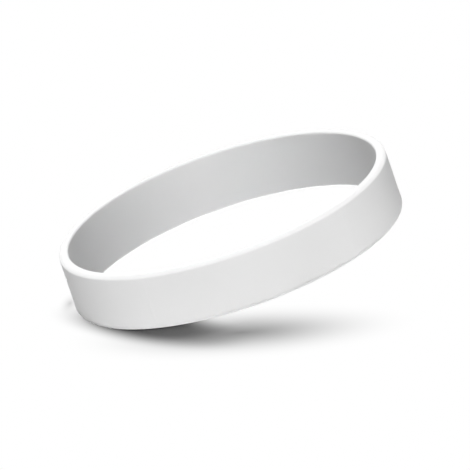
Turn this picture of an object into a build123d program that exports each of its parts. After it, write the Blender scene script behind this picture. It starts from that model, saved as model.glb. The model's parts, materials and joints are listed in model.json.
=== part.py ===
from build123d import *

import math
import os

# Silicone wristband: one closed moulded ring of soft rubber, lying on its lower rim.
# Lengths are in millimetres. +Z runs along the ring's axis, and the origin is the
# ring's centre, in the plane that the lower rim rests on.

# Driving sizes
INNER_CIRCUMFERENCE = 202.0  # length round the wrist side, the size that a band is chosen by
BAND_WIDTH = 12.0  # from the lower rim to the upper rim
WALL = 2.1  # from the wrist side to the outer face
RIM_FLAT = 0.7  # flat strip left along each rim, which the band rests on
INNER_ROUNDING = 0.5  # radius of the two edges beside the wrist, crisper than those outside

# Sizes that follow
inner_radius = INNER_CIRCUMFERENCE / (2 * math.pi)
wall_middle_radius = inner_radius + WALL / 2
outer_rounding = WALL - RIM_FLAT - INNER_ROUNDING  # takes up the rest of the rim


def wall_section() -> Sketch:
    """Cross-section of the band beside its axis: a strip with softer corners on its outer side."""
    strip = Rectangle(WALL, BAND_WIDTH)
    strip = fillet(strip.vertices().group_by(Axis.X)[-1], outer_rounding)
    strip = fillet(strip.vertices().group_by(Axis.X)[0], INNER_ROUNDING)
    return Plane.XZ * Pos(wall_middle_radius, BAND_WIDTH / 2) * strip


def make_band() -> Part:
    """The whole band: its cross-section turned once round the axis."""
    return revolve(wall_section(), Axis.Z)


os.makedirs("parts", exist_ok=True)
export_step(make_band(), "parts/band.step")
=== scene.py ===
"""A plain white silicone wristband lying on its rim in a white studio.

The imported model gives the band's sizes. This script moulds the band's fine surface round them, gives it a
matte silicone finish, and sets the table, the lights and the camera. Lengths are in metres, +Z is up, and the
viewer looks along +Y. Angles round the band are counted from the point nearest the viewer, rising to the
viewer's right.
"""

import json
import logging
import math
from dataclasses import dataclass
from enum import Enum

import bmesh
import bpy
from mathutils import Matrix, Vector, noise


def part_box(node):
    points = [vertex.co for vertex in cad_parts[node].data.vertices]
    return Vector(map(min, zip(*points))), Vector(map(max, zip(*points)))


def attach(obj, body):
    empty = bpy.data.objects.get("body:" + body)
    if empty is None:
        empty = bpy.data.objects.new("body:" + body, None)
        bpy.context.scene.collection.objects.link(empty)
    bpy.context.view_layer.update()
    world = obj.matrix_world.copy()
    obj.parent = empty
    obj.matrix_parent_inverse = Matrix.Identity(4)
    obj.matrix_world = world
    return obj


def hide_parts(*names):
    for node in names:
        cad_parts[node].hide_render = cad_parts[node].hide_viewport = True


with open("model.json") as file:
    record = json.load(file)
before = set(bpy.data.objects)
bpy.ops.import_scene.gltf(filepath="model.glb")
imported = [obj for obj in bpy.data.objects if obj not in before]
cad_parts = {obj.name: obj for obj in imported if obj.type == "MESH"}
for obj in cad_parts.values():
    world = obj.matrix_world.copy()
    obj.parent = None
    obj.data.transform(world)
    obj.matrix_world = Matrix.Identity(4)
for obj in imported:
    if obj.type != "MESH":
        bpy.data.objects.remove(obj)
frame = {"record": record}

LOG = logging.getLogger("wristband")

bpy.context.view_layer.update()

MM = 0.001
BAND_NODE = "band"
WRIST_BORE = "wrist_bore"
UPPER_RIM = "upper_rim"
ROOT_BODY = "root"

PICTURE_PX = 470  # width and height of the picture

Colour = tuple[float, float, float, float]


def grey(level: float) -> Colour:
    """Makes a neutral colour of one brightness."""
    return (level, level, level, 1.0)


@dataclass(frozen=True)
class BandSizes:
    """The moulded band's sizes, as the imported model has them.

    Attributes:
        inner_radius: From the axis to the wrist side.
        outer_radius: From the axis to the outer face.
        width: From the lower rim to the upper rim.
        inner_rounding: Radius along the two edges beside the wrist.
        outer_rounding: Radius along the two edges of the outer face.
    """

    inner_radius: float
    outer_radius: float
    width: float
    inner_rounding: float
    outer_rounding: float

    @classmethod
    def from_frame(cls) -> "BandSizes":
        """Reads the sizes from the band's box, the bore that the wrist goes through and the flat of the rim.

        Returns:
            The sizes in metres.
        """
        low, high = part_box(BAND_NODE)
        mounts = {mount["name"]: mount for mount in frame["record"]["mounts"]}
        bore = mounts[WRIST_BORE]["dims"]
        width = high.z - low.z
        inner_radius = bore["r_mm"] * MM
        inner_rounding = (width - bore["length_mm"] * MM) / 2
        rim_middle = Vector(mounts[UPPER_RIM]["pos_m"]).xy.length
        half_flat = rim_middle - inner_radius - inner_rounding
        return cls(
            inner_radius=inner_radius,
            outer_radius=high.x,
            width=width,
            inner_rounding=inner_rounding,
            outer_rounding=high.x - rim_middle - half_flat,
        )

    @property
    def wall_middle(self) -> float:
        """Radius of the middle of the wall."""
        return (self.inner_radius + self.outer_radius) / 2


class Face(Enum):
    """The parts of the band's surface that the outline of its wall runs over."""

    OUTER = "outer face"
    UPPER_OUTER_EDGE = "upper outer edge"
    UPPER_RIM = "upper rim"
    UPPER_INNER_EDGE = "upper inner edge"
    INNER = "wrist side"
    LOWER_INNER_EDGE = "lower inner edge"
    LOWER_RIM = "lower rim"
    LOWER_OUTER_EDGE = "lower outer edge"


@dataclass(frozen=True)
class SectionPoint:
    """A point of the wall's outline, with the direction in which the surface faces there.

    Attributes:
        radius: Distance from the band's axis.
        height: Height above the table.
        facing: Unit vector out of the rubber, as (away from the axis, up).
        face: The part of the surface that the point lies on.
    """

    radius: float
    height: float
    facing: tuple[float, float]
    face: Face


@dataclass(frozen=True)
class Corner:
    """One rounded corner of the wall's outline.

    Attributes:
        radius: Distance from the band's axis to the rounding's centre.
        height: Height of that centre above the table.
        rounding: The rounding's radius.
        turn: Direction in which the surface faces where the rounding starts, 0 away from the axis and 90 up.
        face: The part of the surface that the rounding is.
    """

    radius: float
    height: float
    rounding: float
    turn: int
    face: Face

    def point(self, turn: float, skin: float, face: Face) -> SectionPoint:
        """Makes the point of the rounding that faces one way.

        Args:
            turn: Direction in which the surface faces there, in degrees.
            skin: Depth that the point is drawn in by.
            face: The part of the surface that the point counts to.

        Returns:
            The point.
        """
        facing = (math.cos(math.radians(turn)), math.sin(math.radians(turn)))
        reach = self.rounding - skin
        return SectionPoint(self.radius + facing[0] * reach, self.height + facing[1] * reach, facing, face)


@dataclass(frozen=True)
class WallSection:
    """The closed outline that a cut across the wall shows: a strip with softer corners on its outer side.

    Attributes:
        sizes: The band's sizes.
        skin: Depth that the outline is drawn in by, so that raised marks stay inside the band's true size.
        wall_steps: Steps up the outer face, and down the wrist side.
        edge_steps: Steps round each corner.
        rim_steps: Steps across the flat of each rim.
    """

    sizes: BandSizes
    skin: float
    wall_steps: int = 28
    edge_steps: int = 10
    rim_steps: int = 4

    def outline(self) -> list[SectionPoint]:
        """Walks once round the wall, up the outer face first.

        Returns:
            The outline's points in order, each only once.
        """
        sizes = self.sizes
        outer, inner = sizes.outer_rounding, sizes.inner_rounding
        corners = (
            Corner(sizes.outer_radius - outer, sizes.width - outer, outer, 0, Face.UPPER_OUTER_EDGE),
            Corner(sizes.inner_radius + inner, sizes.width - inner, inner, 90, Face.UPPER_INNER_EDGE),
            Corner(sizes.inner_radius + inner, inner, inner, 180, Face.LOWER_INNER_EDGE),
            Corner(sizes.outer_radius - outer, outer, outer, 270, Face.LOWER_OUTER_EDGE),
        )
        stretches = (
            (Face.OUTER, self.wall_steps),
            (Face.UPPER_RIM, self.rim_steps),
            (Face.INNER, self.wall_steps),
            (Face.LOWER_RIM, self.rim_steps),
        )
        points = []
        for index, (corner, (face, steps)) in enumerate(zip(corners, stretches)):
            start = corners[index - 1].point(corner.turn, self.skin, face)
            end = corner.point(corner.turn, self.skin, face)
            for step in range(steps):
                share = step / steps
                radius = start.radius + (end.radius - start.radius) * share
                height = start.height + (end.height - start.height) * share
                points.append(SectionPoint(radius, height, end.facing, face))
            for step in range(self.edge_steps):
                points.append(corner.point(corner.turn + 90 * step / self.edge_steps, self.skin, corner.face))
        return points


def smooth_step(value: float) -> float:
    """Rises smoothly from 0 to 1 as the value does."""
    value = min(1.0, max(0.0, value))
    return value * value * (3 - 2 * value)


@dataclass(frozen=True)
class WitnessLine:
    """A hair-fine raised line up the outer face, where two parts of the mould met.

    Attributes:
        angle: Place round the band in degrees.
        width: Width of the line.
        height: How far it stands proud.
        fade: Length over which it dies out towards each rim.
    """

    angle: float
    width: float
    height: float
    fade: float

    def relief(self, angle: float, point: SectionPoint, sizes: BandSizes) -> float:
        """Works out how far the line lifts the surface at a place.

        Args:
            angle: Place round the band in degrees.
            point: Place on the wall's outline.
            sizes: The band's sizes.

        Returns:
            The lift in metres, 0 away from the line.
        """
        if point.face is not Face.OUTER:
            return 0.0
        off_line = math.radians(abs(angle - self.angle)) * sizes.outer_radius / (self.width / 2)
        to_rim = min(point.height, sizes.width - point.height) - sizes.outer_rounding
        return self.height * smooth_step(1 - off_line) * smooth_step(to_rim / self.fade)

    def angles(self, sizes: BandSizes, steps: int) -> list[float]:
        """Places round the band that the mesh needs to hold the line's shape."""
        half = math.degrees(self.width / 2 / sizes.outer_radius)
        return [self.angle + half * (2 * step / steps - 1) for step in range(steps + 1)]


@dataclass(frozen=True)
class SoftUnevenness:
    """Slow, faint hollows in the moulded rubber, as soft rubber never comes out perfectly true.

    Attributes:
        depth: Deepest that a hollow gets.
        spacing: Distance from one hollow to the next.
        seed: Offset that picks the pattern.
    """

    depth: float
    spacing: float
    seed: float

    def relief(self, place: Vector) -> float:
        """Works out how far the surface is sunk at a place, as a lift that is never above 0."""
        level = noise.noise(place / self.spacing + Vector((self.seed, self.seed, self.seed)))
        return -self.depth * (0.5 + 0.5 * level)


@dataclass
class Wristband:
    """The whole band: one closed ring of silicone rubber.

    Attributes:
        sizes: The band's sizes.
        witness_lines: The mould's lines up the outer face.
        unevenness: The rubber's slow hollows.
        ring_steps: Steps round the band, before those that the witness lines add.
        line_steps: Steps across each witness line.
    """

    sizes: BandSizes
    witness_lines: tuple[WitnessLine, ...]
    unevenness: SoftUnevenness
    ring_steps: int = 540
    line_steps: int = 10

    def ring_angles(self) -> list[float]:
        """Places round the band where the mesh has a cross-section.

        Returns:
            Angles in degrees, rising, close together at the witness lines.
        """
        close = [angle for line in self.witness_lines for angle in line.angles(self.sizes, self.line_steps)]
        spacing = 360 / self.ring_steps
        least_gap = spacing / 3  # an even step that is closer than this to a witness line's steps is left out
        even = [spacing * step - 180 for step in range(self.ring_steps)]
        kept = [angle for angle in even if all(abs(angle - other) > least_gap for other in close)]
        return sorted(kept + close)

    def surface_point(self, angle: float, point: SectionPoint) -> Vector:
        """Places one vertex of the band.

        Args:
            angle: Place round the band in degrees.
            point: Place on the wall's outline.

        Returns:
            The vertex in the band's frame, with the relief of the mould in it.
        """
        around = math.radians(angle)
        outward = Vector((math.sin(around), -math.cos(around), 0))
        smooth = outward * point.radius + Vector((0, 0, point.height))
        facing = outward * point.facing[0] + Vector((0, 0, point.facing[1]))
        lift = sum(line.relief(angle, point, self.sizes) for line in self.witness_lines)
        return smooth + facing * (lift + self.unevenness.relief(smooth))

    def build(self) -> bpy.types.Object:
        """Makes the band as one closed mesh.

        Returns:
            The band's object, in place.
        """
        skin = max(line.height for line in self.witness_lines)
        outline = WallSection(self.sizes, skin).outline()
        shape = bmesh.new()
        rings = [
            [shape.verts.new(self.surface_point(angle, point)) for point in outline]
            for angle in self.ring_angles()
        ]
        for ring, following in zip(rings, rings[1:] + rings[:1]):
            for step in range(len(outline)):
                after = (step + 1) % len(outline)
                face = shape.faces.new((ring[step], following[step], following[after], ring[after]))
                face.smooth = True
        bmesh.ops.recalc_face_normals(shape, faces=shape.faces)
        mesh = bpy.data.meshes.new("wristband")
        shape.to_mesh(mesh)
        shape.free()
        band = bpy.data.objects.new("wristband", mesh)
        bpy.context.scene.collection.objects.link(band)
        return band


class Value:
    """A number that a shader works out, for use in Python expressions."""

    def __init__(self, sheet: "ShaderSheet", socket: bpy.types.NodeSocket) -> None:
        """Wraps an output socket of a node on a sheet."""
        self.sheet = sheet
        self.socket = socket

    def _combine(self, operation: str, first: object, second: object) -> "Value":
        """Adds the Math node of one operation on two values or numbers."""
        inputs = {0: first, 1: second}
        return self.sheet.value(self.sheet.node("ShaderNodeMath", {"operation": operation}, inputs), 0)

    def __add__(self, other: object) -> "Value":
        """Sum of this value and another."""
        return self._combine("ADD", self, other)

    def __radd__(self, other: object) -> "Value":
        """Sum of a number and this value."""
        return self._combine("ADD", other, self)

    def __mul__(self, other: object) -> "Value":
        """Product of this value and another."""
        return self._combine("MULTIPLY", self, other)

    def __rmul__(self, other: object) -> "Value":
        """Product of a number and this value."""
        return self._combine("MULTIPLY", other, self)


class ShaderSheet:
    """The node tree of one finish, with one method that adds any node to it."""

    def __init__(self, tree: bpy.types.NodeTree) -> None:
        """Clears a node tree and holds it.

        Args:
            tree: The tree of a material or of a world.
        """
        self.tree = tree
        self.tree.nodes.clear()

    def node(self, kind: str, settings: dict[str, object], inputs: dict[object, object]) -> bpy.types.Node:
        """Adds a node, sets it up and feeds it.

        Args:
            kind: Blender's name of the node's type.
            settings: The node's own settings by name, set first.
            inputs: What each input socket gets, by the socket's name or number: a number, a colour, a vector,
                a Value, or another node's output socket.

        Returns:
            The new node.
        """
        made = self.tree.nodes.new(kind)
        for name, setting in settings.items():
            setattr(made, name, setting)
        for name, given in inputs.items():
            socket = self.socket(made.inputs, name)
            source = given.socket if isinstance(given, Value) else given
            if isinstance(source, bpy.types.NodeSocket):
                self.tree.links.new(source, socket)
            else:
                socket.default_value = source
        return made

    def value(self, node: bpy.types.Node, output: str | int) -> Value:
        """Takes a number from one of a node's outputs, by name or number."""
        return Value(self, self.socket(node.outputs, output))

    def socket(self, sockets: bpy.types.bpy_prop_collection, name: str | int) -> bpy.types.NodeSocket:
        """Finds the socket of a name that is in use, or the socket of a number."""
        if isinstance(name, int):
            return sockets[name]
        return next(socket for socket in sockets if socket.enabled and socket.name == name)


@dataclass(frozen=True)
class SiliconeFinish:
    """Matte white silicone rubber as it comes from a fine-blasted mould.

    Attributes:
        milk: Colour of the rubber.
        shade: Colour in its faintly darker clouds.
        cloud_size: Size of the clouds.
        cloud_share: Share of the colour's change that the clouds make. The grain makes the rest.
        grain_size: Size of the mould's blasted grain.
        grain_depth: Depth of that grain.
        dullness: Lowest roughness.
        cloud_dullness: What the clouds add to the roughness.
        grain_dullness: What the grain adds to the roughness.
        velvet: How evenly the blasted surface scatters light, from smooth at 0 to powdery at 1.
        glow: Share of the light that scatters inside the rubber.
        glow_reach: How far that light travels.
        refraction: Refractive index of silicone rubber.
    """

    milk: Colour = grey(0.78)
    shade: Colour = grey(0.76)
    cloud_size: float = 9 * MM
    cloud_share: float = 0.7
    grain_size: float = 0.28 * MM
    grain_depth: float = 0.02 * MM
    dullness: float = 0.53
    cloud_dullness: float = 0.05
    grain_dullness: float = 0.05
    velvet: float = 1.0
    glow: float = 0.25
    glow_reach: float = 0.9 * MM
    refraction: float = 1.41

    def material(self) -> bpy.types.Material:
        """Makes the finish's material.

        Returns:
            The material, with its pattern worked out in the band's own frame.
        """
        made = bpy.data.materials.new("white_silicone")
        made.use_nodes = True
        sheet = ShaderSheet(made.node_tree)
        place = sheet.node("ShaderNodeTexCoord", {}, {}).outputs["Object"]
        clouds = self._noise(sheet, place, self.cloud_size, detail=3.0)
        grain = self._noise(sheet, place, self.grain_size, detail=2.0)
        tint = clouds * self.cloud_share + grain * (1 - self.cloud_share)
        colour = sheet.node("ShaderNodeMix", {"data_type": "RGBA"},
                            {"Factor": tint, "A": self.shade, "B": self.milk})
        bump = sheet.node("ShaderNodeBump", {},
                          {"Strength": 1.0, "Distance": self.grain_depth, "Height": grain})
        shader = sheet.node("ShaderNodeBsdfPrincipled", {"subsurface_method": "RANDOM_WALK"}, {
            "Base Color": sheet.socket(colour.outputs, "Result"),
            "Roughness": self.dullness + clouds * self.cloud_dullness + grain * self.grain_dullness,
            "Normal": bump.outputs["Normal"],
            "Diffuse Roughness": self.velvet,
            "Subsurface Weight": self.glow,
            "Subsurface Radius": (1.0, 1.0, 1.0),
            "Subsurface Scale": self.glow_reach,
            "IOR": self.refraction,
        })
        sheet.node("ShaderNodeOutputMaterial", {}, {"Surface": shader.outputs["BSDF"]})
        return made

    def _noise(self, sheet: ShaderSheet, place: bpy.types.NodeSocket, size: float, detail: float) -> Value:
        """Adds an even noise pattern of one size, from about 0 to 1."""
        inputs = {"Vector": place, "Scale": 1 / size, "Detail": detail}
        return sheet.value(sheet.node("ShaderNodeTexNoise", {}, inputs), "Fac")


@dataclass(frozen=True)
class PaintedShadowPatch:
    """A soft oval of dark matte paper melted into the table's glass: a painted shadow of the band on the
    table.

    Attributes:
        middle: The oval's middle.
        half_length: Half of its length.
        half_width: Half of its width.
        turn: Turn of its length from the +X axis, in degrees.
        fade_from: Share of the way from its middle to its edge at which it starts to melt away. Below 0 it is
            partly melted at its middle too.
    """

    middle: tuple[float, float, float]
    half_length: float
    half_width: float
    turn: float
    fade_from: float

    def shadow_fade(self, sheet: ShaderSheet, place: bpy.types.NodeSocket) -> Value:
        """Works out how far the patch of painted shadow has melted away at a place.

        Args:
            sheet: The sheet of the table's finish.
            place: The place on the table.

        Returns:
            0 where all is the dark paper of the painted shadow, to 1 where none is.
        """
        inside = sheet.node("ShaderNodeMapping", {"vector_type": "TEXTURE"}, {
            "Vector": place,
            "Location": self.middle,
            "Rotation": (0.0, 0.0, math.radians(self.turn)),
            "Scale": (self.half_length, self.half_width, 1.0),
        })
        outward = sheet.node("ShaderNodeVectorMath", {"operation": "LENGTH"}, {0: inside.outputs["Vector"]})
        shadow_fade = sheet.node("ShaderNodeMapRange", {"interpolation_type": "SMOOTHERSTEP"},
                          {"Value": sheet.value(outward, "Value"), "From Min": self.fade_from})
        return sheet.value(shadow_fade, "Result")


@dataclass(frozen=True)
class Sweep:
    """The white table: glowing white glass, with dark matte paper melted into it as a painted shadow where
    the band's shadow falls. The table's lamps also cast the band's real shadow on that paper.

    Attributes:
        glass_radius: Within this distance of the band's axis the table is all glass.
        shadow_patches: The dark paper that paints the band's shadow.
        shadow_paper: Colour of that paper, dark for the painted shadow.
        side: Length of the table's sides.
    """

    glass_radius: float
    shadow_patches: tuple[PaintedShadowPatch, ...]
    shadow_paper: Colour
    side: float = 3.0

    def build(self) -> bpy.types.Object:
        """Makes the table's top, level with the band's lower rim.

        Returns:
            The table's object.
        """
        half = self.side / 2
        mesh = bpy.data.meshes.new("table")
        corners = [(-half, -half, 0), (half, -half, 0), (half, half, 0), (-half, half, 0)]
        mesh.from_pydata(corners, [], [(0, 1, 2, 3)])
        mesh.materials.append(self.material())
        table = bpy.data.objects.new("table", mesh)
        bpy.context.scene.collection.objects.link(table)
        return table

    def material(self) -> bpy.types.Material:
        """Makes the table's finish.

        Returns:
            The material, which turns from the dark paper of the painted shadow to glass at the edges of the
            patches.
        """
        made = bpy.data.materials.new("white_table")
        made.use_nodes = True
        sheet = ShaderSheet(made.node_tree)
        place = sheet.node("ShaderNodeTexCoord", {}, {}).outputs["Object"]
        from_axis = sheet.node("ShaderNodeVectorMath", {"operation": "LENGTH"}, {0: place})
        inside = sheet.node("ShaderNodeMath", {"operation": "LESS_THAN"},
                            {0: sheet.value(from_axis, "Value"), 1: self.glass_radius})
        # The patches' dark paper paints the band's shadow; the glass, which glows white to the camera, covers
        # the rest.
        painted_shadow_gone = math.prod(patch.shadow_fade(sheet, place) for patch in self.shadow_patches)
        glass = sheet.node("ShaderNodeMath", {"operation": "MAXIMUM"}, {0: sheet.value(inside, 0), 1: painted_shadow_gone})
        seen = sheet.value(sheet.node("ShaderNodeLightPath", {}, {}), "Is Camera Ray")
        shadow_paper = sheet.node("ShaderNodeBsdfDiffuse", {}, {"Color": self.shadow_paper})
        glow = sheet.node("ShaderNodeEmission", {}, {"Color": grey(1.0), "Strength": seen})
        top = sheet.node("ShaderNodeMixShader", {},
                         {0: sheet.value(glass, 0), 1: shadow_paper.outputs[0], 2: glow.outputs[0]})
        sheet.node("ShaderNodeOutputMaterial", {}, {"Surface": top.outputs[0]})
        return made


class Reach(Enum):
    """Where a lamp's light may go. Each lamp is flagged off from the rest of the set."""

    BAND = "the band, with a flag under it and its hollow"
    BAND_OFF_FOOT = "as BAND, with a second flag under the band's left foot"
    HOLLOW = "the band, with a flag under its rim alone, so that its hollow is open to lamps below"
    TABLE = "the table, with the band's shadow on it"


@dataclass(frozen=True)
class Direction:
    """Where a lamp stands, as seen from what it points at.

    Attributes:
        angle: Place round the band in degrees.
        elevation: Height above the table in degrees, below 0 for a lamp under it.
        distance: Distance from what it points at.
    """

    angle: float
    elevation: float
    distance: float = 0.6

    def place(self, lamp: bpy.types.Object, aim: Vector) -> None:
        """Puts a lamp in its place and points it.

        Args:
            lamp: The lamp.
            aim: What it points at.
        """
        around, up = math.radians(self.angle), math.radians(self.elevation)
        away = Vector((math.sin(around) * math.cos(up), -math.cos(around) * math.cos(up), math.sin(up)))
        lamp.location = aim + away * self.distance
        lamp.rotation_euler = away.to_track_quat("Z", "Y").to_euler()


@dataclass(frozen=True)
class SoftLight:
    """A square diffused lamp that points at the band.

    Attributes:
        name: What the lamp is called.
        reach: Where its light may go.
        stand: Where it stands.
        side: Length of its sides.
        power: Power in watts.
    """

    name: str
    reach: Reach
    stand: Direction
    side: float
    power: float

    def build(self) -> bpy.types.Object:
        """Makes the lamp and points it at the band.

        Returns:
            The lamp's object, not yet in the scene.
        """
        data = bpy.data.lights.new(self.name, "AREA")
        data.shape = "SQUARE"
        data.size = self.side
        data.energy = self.power
        lamp = bpy.data.objects.new(self.name, data)
        self.stand.place(lamp, Vector((0, 0, 0)))
        return lamp


@dataclass(frozen=True)
class SpotLight:
    """A round lamp with a narrow beam.

    Attributes:
        name: What the lamp is called.
        reach: Where its light may go.
        stand: Where it stands.
        aim: What it points at.
        beam_radius: Radius of the beam where it gets there.
        beam_softness: Share of the beam that fades towards its edge.
        size: Radius of the lamp.
        power: Power in watts, as if it shone all round.
    """

    name: str
    reach: Reach
    stand: Direction
    aim: Vector
    beam_radius: float
    beam_softness: float
    size: float
    power: float

    def build(self) -> bpy.types.Object:
        """Makes the lamp and points it.

        Returns:
            The lamp's object, not yet in the scene.
        """
        data = bpy.data.lights.new(self.name, "SPOT")
        data.spot_size = 2 * math.atan(self.beam_radius / self.stand.distance)
        data.spot_blend = self.beam_softness
        data.shadow_soft_size = self.size
        data.energy = self.power
        lamp = bpy.data.objects.new(self.name, data)
        self.stand.place(lamp, self.aim)
        return lamp


@dataclass(frozen=True)
class Flag:
    """A round card just under the table, which shades the band from low lamps.

    Attributes:
        name: What the card is called.
        radius: Radius of the card.
        hole: Radius of the round hole in its middle.
        middle: Where its middle lies, from the band's axis along X and along Y.
        depth: How far it lies under the table's top.
        sides: Sides of its outline.
    """

    name: str
    radius: float
    hole: float = 0.0
    middle: tuple[float, float] = (0.0, 0.0)
    depth: float = 0.02 * MM
    sides: int = 128

    def build(self) -> bpy.types.Object:
        """Makes the card, unseen by the camera.

        Returns:
            The card's object.
        """
        middle = Vector((*self.middle, -self.depth))
        corners = []
        for side in range(self.sides):
            turn = 2 * math.pi * side / self.sides
            outward = Vector((math.cos(turn), math.sin(turn), 0))
            corners += [middle + outward * self.hole, middle + outward * self.radius]
        count = len(corners)
        faces = [[(first + step) % count for step in (0, 1, 3, 2)] for first in range(0, count, 2)]
        mesh = bpy.data.meshes.new(self.name)
        mesh.from_pydata(corners, [], faces)
        flag = bpy.data.objects.new(self.name, mesh)
        flag.visible_camera = flag.visible_diffuse = flag.visible_glossy = False
        bpy.context.scene.collection.objects.link(flag)
        return flag


@dataclass(frozen=True)
class Studio:
    """The white table, the flags and the lamps over and under it, and the white that shows behind it.

    Attributes:
        table: The table.
        hollow_flag: The flag under the band and its hollow.
        rim_flag: The flag under the band's lower rim alone.
        foot_flag: The flag under the band's left foot.
        lights: The lamps.
    """

    table: Sweep
    hollow_flag: Flag
    rim_flag: Flag
    foot_flag: Flag
    lights: tuple[SoftLight | SpotLight, ...]

    def build(self, band: bpy.types.Object) -> None:
        """Makes the table, the flags, the lamps and the world.

        Args:
            band: The band, which lies on the table.
        """
        table = self.table.build()
        hollow_flag = self.hollow_flag.build()
        rim_flag = self.rim_flag.build()
        foot_flag = self.foot_flag.build()
        band_alone = self._group("band_alone", band)
        table_alone = self._group("table_alone", table)
        shades = {
            Reach.BAND: self._group("band_and_flag", band, hollow_flag),
            Reach.BAND_OFF_FOOT: self._group("band_and_flags", band, hollow_flag, foot_flag),
            Reach.HOLLOW: self._group("band_and_rim_flag", band, rim_flag),
            Reach.TABLE: band_alone,
        }
        for light in self.lights:
            lamp = light.build()
            lamp.visible_camera = False
            # Cycles loses light when it also finds flagged lamps by bouncing rays.
            lamp.data.cycles.use_multiple_importance_sampling = False
            lamp.light_linking.receiver_collection = table_alone if light.reach is Reach.TABLE else band_alone
            lamp.light_linking.blocker_collection = shades[light.reach]
            bpy.context.scene.collection.objects.link(lamp)
        self._world()

    def _group(self, name: str, *things: bpy.types.Object) -> bpy.types.Collection:
        """Makes a group of things that a lamp lights or that shade it.

        Args:
            name: What the group is called.
            things: What goes into it.

        Returns:
            The group.
        """
        group = bpy.data.collections.new(name)
        for thing in things:
            group.objects.link(thing)
        return group

    def _world(self) -> None:
        """Shows white where the table ends, and sheds no light on the band."""
        world = bpy.data.worlds.new("studio")
        bpy.context.scene.world = world
        world.use_nodes = True
        sheet = ShaderSheet(world.node_tree)
        seen = sheet.value(sheet.node("ShaderNodeLightPath", {}, {}), "Is Camera Ray")
        light = sheet.node("ShaderNodeBackground", {}, {"Color": grey(1.0), "Strength": seen})
        sheet.node("ShaderNodeOutputWorld", {}, {"Surface": light.outputs["Background"]})


@dataclass(frozen=True)
class PhotoCamera:
    """The camera of the reference picture, which sees the band without perspective.

    Attributes:
        elevation: Height of the viewer above the rim's plane, in degrees.
        tilt: Turn of the picture that lifts the band's right end, in degrees.
        px_per_mm: Pixels of the picture to a millimetre of the band.
        band_px: Where the band's middle lies in the picture, from its left and its top edge.
        distance: Distance from the band.
        sight: Nearest and farthest that it sees.
    """

    elevation: float
    tilt: float
    px_per_mm: float
    band_px: tuple[float, float]
    distance: float = 0.5
    sight: tuple[float, float] = (0.01, 10.0)

    def build(self, target: Vector) -> None:
        """Makes the camera and takes it into use.

        Args:
            target: The band's middle.
        """
        up_angle, turn = math.radians(self.elevation), math.radians(self.tilt)
        back = Vector((0, -math.cos(up_angle), math.sin(up_angle)))
        level = Vector((1, 0, 0))
        upright = back.cross(level)
        right = level * math.cos(turn) - upright * math.sin(turn)
        up = level * math.sin(turn) + upright * math.cos(turn)
        metres_per_px = MM / self.px_per_mm
        aside = (self.band_px[0] - PICTURE_PX / 2) * metres_per_px
        above = (PICTURE_PX / 2 - self.band_px[1]) * metres_per_px
        data = bpy.data.cameras.new("camera")
        data.type = "ORTHO"
        data.ortho_scale = PICTURE_PX * metres_per_px
        data.clip_start, data.clip_end = self.sight
        camera = bpy.data.objects.new("camera", data)
        place = target - right * aside - up * above + back * self.distance
        axes = Matrix((right, up, back)).transposed()
        camera.matrix_world = Matrix.Translation(place) @ axes.to_4x4()
        bpy.context.scene.collection.objects.link(camera)
        bpy.context.scene.camera = camera


def mould_marks() -> tuple[tuple[WitnessLine, ...], SoftUnevenness]:
    """What the mould left on the rubber: two faint lines on the front, and slow hollows all over."""
    angles = (-36.0, 41.3)
    lines = tuple(WitnessLine(angle, width=1.3 * MM, height=0.05 * MM, fade=1.5 * MM) for angle in angles)
    return lines, SoftUnevenness(depth=0.03 * MM, spacing=14 * MM, seed=3.7)


def photo_table(sizes: BandSizes) -> Sweep:
    """Lays the dark paper of the table where the picture's shadow falls, as a painted shadow.

    Args:
        sizes: The band's sizes.

    Returns:
        The table.
    """
    return Sweep(
        glass_radius=sizes.wall_middle,
        shadow_patches=(
            # Each patch is dark paper that paints part of the band's shadow: a long streak in front, a strip
            # along the left front foot and a small shade beside the left foot.
            PaintedShadowPatch((-4.7 * MM, -47.0 * MM, 0.0), 50.2 * MM, 14.4 * MM, turn=-45.2, fade_from=-0.38),
            PaintedShadowPatch((-20.9 * MM, -24.5 * MM, 0.0), 39.5 * MM, 8.8 * MM, turn=-61.8, fade_from=0.24),
            PaintedShadowPatch((-35.0 * MM, 7.0 * MM, 0.0), 8.0 * MM, 3.0 * MM, turn=82.0, fade_from=-1.2),
        ),
        # Dark paper, for the painted shadow.
        shadow_paper=grey(0.12),
    )


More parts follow.
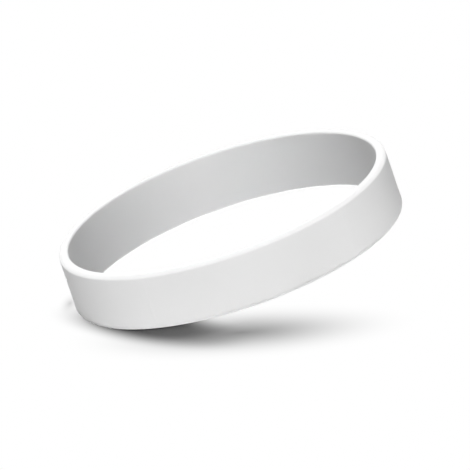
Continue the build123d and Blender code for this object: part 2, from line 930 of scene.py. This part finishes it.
def photo_lights(sizes: BandSizes) -> tuple[SoftLight | SpotLight, ...]:
    """Sets the lamps that give the picture's light.

    Args:
        sizes: The band's sizes.

    Returns:
        The lamps.
    """
    far_wall = Vector((0, 30 * MM, sizes.width / 2))
    hollow = Vector((0, 0, 0))
    return (
        SoftLight("high_front", Reach.BAND, Direction(0, 75), side=0.06, power=4.88),
        SoftLight("low_front", Reach.BAND_OFF_FOOT, Direction(0, -30), side=0.3, power=1.92),
        SoftLight("low_right", Reach.BAND, Direction(45, -30), side=0.3, power=0.56),
        SoftLight("side_left", Reach.BAND_OFF_FOOT, Direction(-70, -20), side=0.3, power=1.90),
        SoftLight("side_right", Reach.BAND, Direction(70, -20), side=0.3, power=1.52),
        SoftLight("back_left", Reach.BAND, Direction(-155, -20), side=0.3, power=0.20),
        SoftLight("back_right", Reach.BAND, Direction(155, -20), side=0.3, power=0.20),
        SoftLight("low_back", Reach.BAND, Direction(180, -30), side=0.3, power=1.90),
        SpotLight("far_wall", Reach.HOLLOW, Direction(0, -50), far_wall,
                  beam_radius=34 * MM, beam_softness=1.0, size=0.03, power=16.0),
        SoftLight("near_wall", Reach.HOLLOW, Direction(180, -50), side=0.3, power=2.2),
        SpotLight("under_hollow", Reach.HOLLOW, Direction(0, -90, distance=2.0), hollow,
                  beam_radius=sizes.wall_middle, beam_softness=0.0, size=0.001, power=320.0),
        SoftLight("table_top", Reach.TABLE, Direction(0, 90), side=0.35, power=3.3),
        SoftLight("table_back", Reach.TABLE, Direction(200, 50), side=0.15, power=3.9),
    )


def photo_studio(sizes: BandSizes) -> Studio:
    """Puts the table, the flags and the lamps of the picture together.

    Args:
        sizes: The band's sizes.

    Returns:
        The studio.
    """
    return Studio(
        table=photo_table(sizes),
        hollow_flag=Flag("hollow_flag", sizes.outer_radius - 0.5 * MM),
        rim_flag=Flag("rim_flag", sizes.outer_radius, hole=sizes.wall_middle),
        foot_flag=Flag("foot_flag", 30.2 * MM, middle=(-5.1 * MM, -0.4 * MM)),
        lights=photo_lights(sizes),
    )


def main() -> None:
    """Builds the band, its studio and its camera."""
    logging.basicConfig(level=logging.INFO, format="%(message)s")
    sizes = BandSizes.from_frame()
    witness_lines, unevenness = mould_marks()
    band = Wristband(sizes, witness_lines, unevenness).build()
    band.data.materials.append(SiliconeFinish().material())
    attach(band, ROOT_BODY)
    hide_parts(BAND_NODE)
    LOG.info("wristband: %d faces", len(band.data.polygons))

    studio = photo_studio(sizes)
    studio.build(band)
    LOG.info("studio: %d lamps", len(studio.lights))
    PhotoCamera(elevation=17.82, tilt=18.92, px_per_mm=5.028, band_px=(230.7, 229.3)).build(
        Vector((0, 0, sizes.width / 2)))
    bpy.context.scene.view_settings.view_transform = "Standard"


if __name__ == "__main__":
    main()
